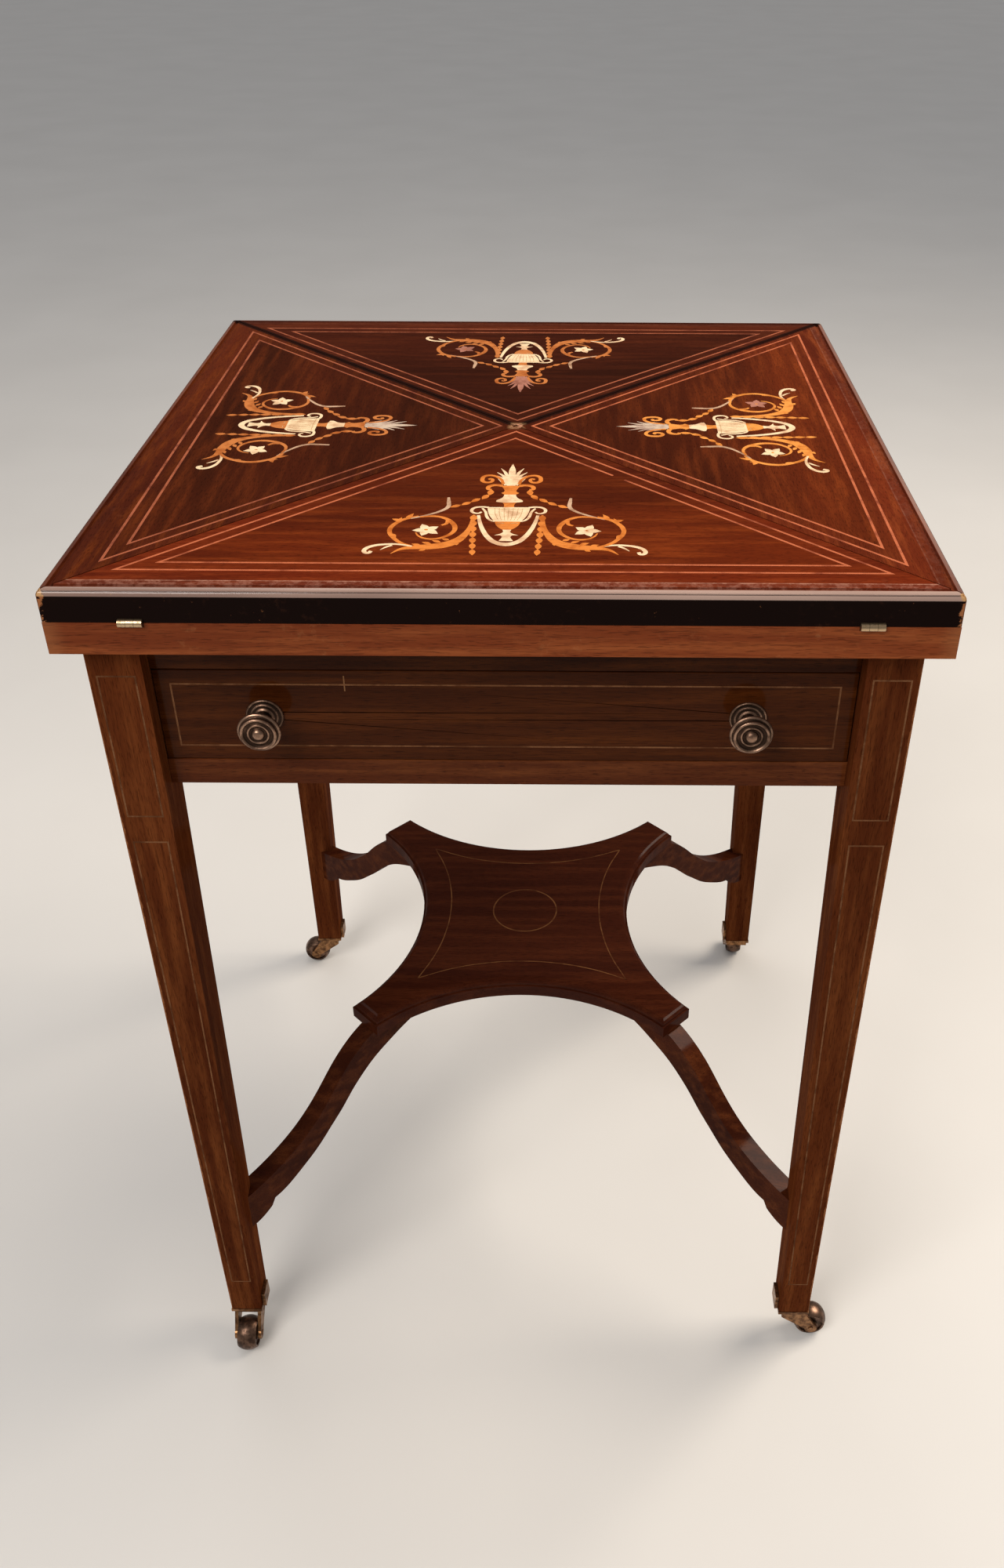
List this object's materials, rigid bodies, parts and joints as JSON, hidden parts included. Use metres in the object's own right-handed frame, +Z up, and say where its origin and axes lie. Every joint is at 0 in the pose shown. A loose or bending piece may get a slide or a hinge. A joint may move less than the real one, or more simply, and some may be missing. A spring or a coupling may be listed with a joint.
{
  "type": "games table",
  "caption": "Square envelope card table: hinged triangular leaves fold over a swivelling baize-lined bed, above a frieze drawer, tapered legs, an undertier and castors.",
  "frame": {"origin": "on the floor under the middle of the square top", "axes": "+Z up, -Y to the front with the drawer, +X to the right seen from the front"},
  "size_m": [0.5444, 0.5444, 0.751],
  "materials": {
    "rosewood": "French-polished rosewood veneer",
    "bed_wood": "polished mahogany",
    "leg_wood": "polished mahogany with boxwood lines",
    "rail_wood": "polished mahogany",
    "drawer_wood": "polished mahogany with boxwood lines",
    "shelf_wood": "polished mahogany with line inlay",
    "stretcher_wood": "polished mahogany",
    "inner_wood": "unpolished secondary wood",
    "baize": "green woollen baize",
    "hinge_brass": "worn brass",
    "knob_brass": "dark patinated brass",
    "steel": "plain steel",
    "castor_brass": "dull brass",
    "castor_wheel": "dark patinated brass"
  },
  "bodies": {
    "frame": {"leg_front_left": "leg_wood", "leg_front_right": "leg_wood", "leg_back_left": "leg_wood", "leg_back_right": "leg_wood", "rail_left": "rail_wood", "rail_right": "rail_wood", "rail_back": "rail_wood", "rail_front_top": "rail_wood", "rail_front_low": "rail_wood", "drawer_runners": "inner_wood", "drawer_kickers": "inner_wood", "pivot_bearer": "inner_wood", "swivel_washer": "steel", "undertier_shelf": "shelf_wood", "stretcher_front_left": "stretcher_wood", "stretcher_front_right": "stretcher_wood", "stretcher_back_left": "stretcher_wood", "stretcher_back_right": "stretcher_wood", "castor_plates": "castor_brass"},
    "top_bed": {"bed": "bed_wood", "bed_baize": "baize", "hinge_bed_flaps": "hinge_brass", "hinge_pins": "hinge_brass", "pivot_bolt": "steel", "pivot_lower_washer": "steel", "pivot_nut": "steel", "stop_peg": "inner_wood"},
    "drawer": {"drawer_front": "drawer_wood", "drawer_side_left": "inner_wood", "drawer_side_right": "inner_wood", "drawer_back": "inner_wood", "drawer_bottom": "inner_wood", "knobs": "knob_brass", "knob_roses": "knob_brass", "knob_nuts": "steel"},
    "front_leaf": {"leaf_front": "rosewood", "leaf_front_baize": "baize", "hinge_leaf_flaps_front": "hinge_brass"},
    "right_leaf": {"leaf_right": "rosewood", "leaf_right_baize": "baize", "hinge_leaf_flaps_right": "hinge_brass"},
    "back_leaf": {"leaf_back": "rosewood", "leaf_back_baize": "baize", "hinge_leaf_flaps_back": "hinge_brass"},
    "left_leaf": {"leaf_left": "rosewood", "leaf_left_baize": "baize", "hinge_leaf_flaps_left": "hinge_brass"},
    "castor_front_left": {"castor_fork_front_left": "castor_brass", "castor_axle_front_left": "castor_brass"},
    "wheel_front_left": {"castor_wheel_front_left": "castor_wheel"},
    "castor_front_right": {"castor_fork_front_right": "castor_brass", "castor_axle_front_right": "castor_brass"},
    "wheel_front_right": {"castor_wheel_front_right": "castor_wheel"},
    "castor_back_left": {"castor_fork_back_left": "castor_brass", "castor_axle_back_left": "castor_brass"},
    "wheel_back_left": {"castor_wheel_back_left": "castor_wheel"},
    "castor_back_right": {"castor_fork_back_right": "castor_brass", "castor_axle_back_right": "castor_brass"},
    "wheel_back_right": {"castor_wheel_back_right": "castor_wheel"}
  },
  "joints": [
    {"name": "bed_swivel", "type": "hinge", "parent": "frame", "child": "top_bed", "pos_m": [0, 0, 0.709], "axis": [0, 0, 1], "range_deg": [0, 45]},
    {"name": "drawer_slide", "type": "slide", "parent": "frame", "child": "drawer", "axis": [0, -1, 0], "range_m": [0, 0.32]},
    {"name": "front_leaf_hinge", "type": "hinge", "parent": "top_bed", "child": "front_leaf", "pos_m": [0, -0.2668, 0.7301], "axis": [1, 0, 0], "range_deg": [0, 180]},
    {"name": "right_leaf_hinge", "type": "hinge", "parent": "top_bed", "child": "right_leaf", "pos_m": [0.2668, 0, 0.7301], "axis": [0, 1, 0], "range_deg": [0, 180]},
    {"name": "back_leaf_hinge", "type": "hinge", "parent": "top_bed", "child": "back_leaf", "pos_m": [0, 0.2668, 0.7301], "axis": [-1, 0, 0], "range_deg": [0, 180]},
    {"name": "left_leaf_hinge", "type": "hinge", "parent": "top_bed", "child": "left_leaf", "pos_m": [-0.2668, 0, 0.7301], "axis": [0, -1, 0], "range_deg": [0, 180]},
    {"name": "front_left_castor_swivel", "type": "hinge", "parent": "frame", "child": "castor_front_left", "pos_m": [-0.23975, -0.23975, 0.038], "axis": [0, 0, 1], "continuous": true},
    {"name": "front_left_wheel_spin", "type": "hinge", "parent": "castor_front_left", "child": "wheel_front_left", "pos_m": [-0.23975, -0.25775, 0.0145], "axis": [1, 0, 0], "continuous": true},
    {"name": "front_right_castor_swivel", "type": "hinge", "parent": "frame", "child": "castor_front_right", "pos_m": [0.23975, -0.23975, 0.038], "axis": [0, 0, 1], "continuous": true},
    {"name": "front_right_wheel_spin", "type": "hinge", "parent": "castor_front_right", "child": "wheel_front_right", "pos_m": [0.25775, -0.23975, 0.0145], "axis": [0, 1, 0], "continuous": true},
    {"name": "back_left_castor_swivel", "type": "hinge", "parent": "frame", "child": "castor_back_left", "pos_m": [-0.23975, 0.23975, 0.038], "axis": [0, 0, 1], "continuous": true},
    {"name": "back_left_wheel_spin", "type": "hinge", "parent": "castor_back_left", "child": "wheel_back_left", "pos_m": [-0.25775, 0.23975, 0.0145], "axis": [0, 1, 0], "continuous": true},
    {"name": "back_right_castor_swivel", "type": "hinge", "parent": "frame", "child": "castor_back_right", "pos_m": [0.23975, 0.23975, 0.038], "axis": [0, 0, 1], "continuous": true},
    {"name": "back_right_wheel_spin", "type": "hinge", "parent": "castor_back_right", "child": "wheel_back_right", "pos_m": [0.23975, 0.25775, 0.0145], "axis": [1, 0, 0], "continuous": true}
  ]
}
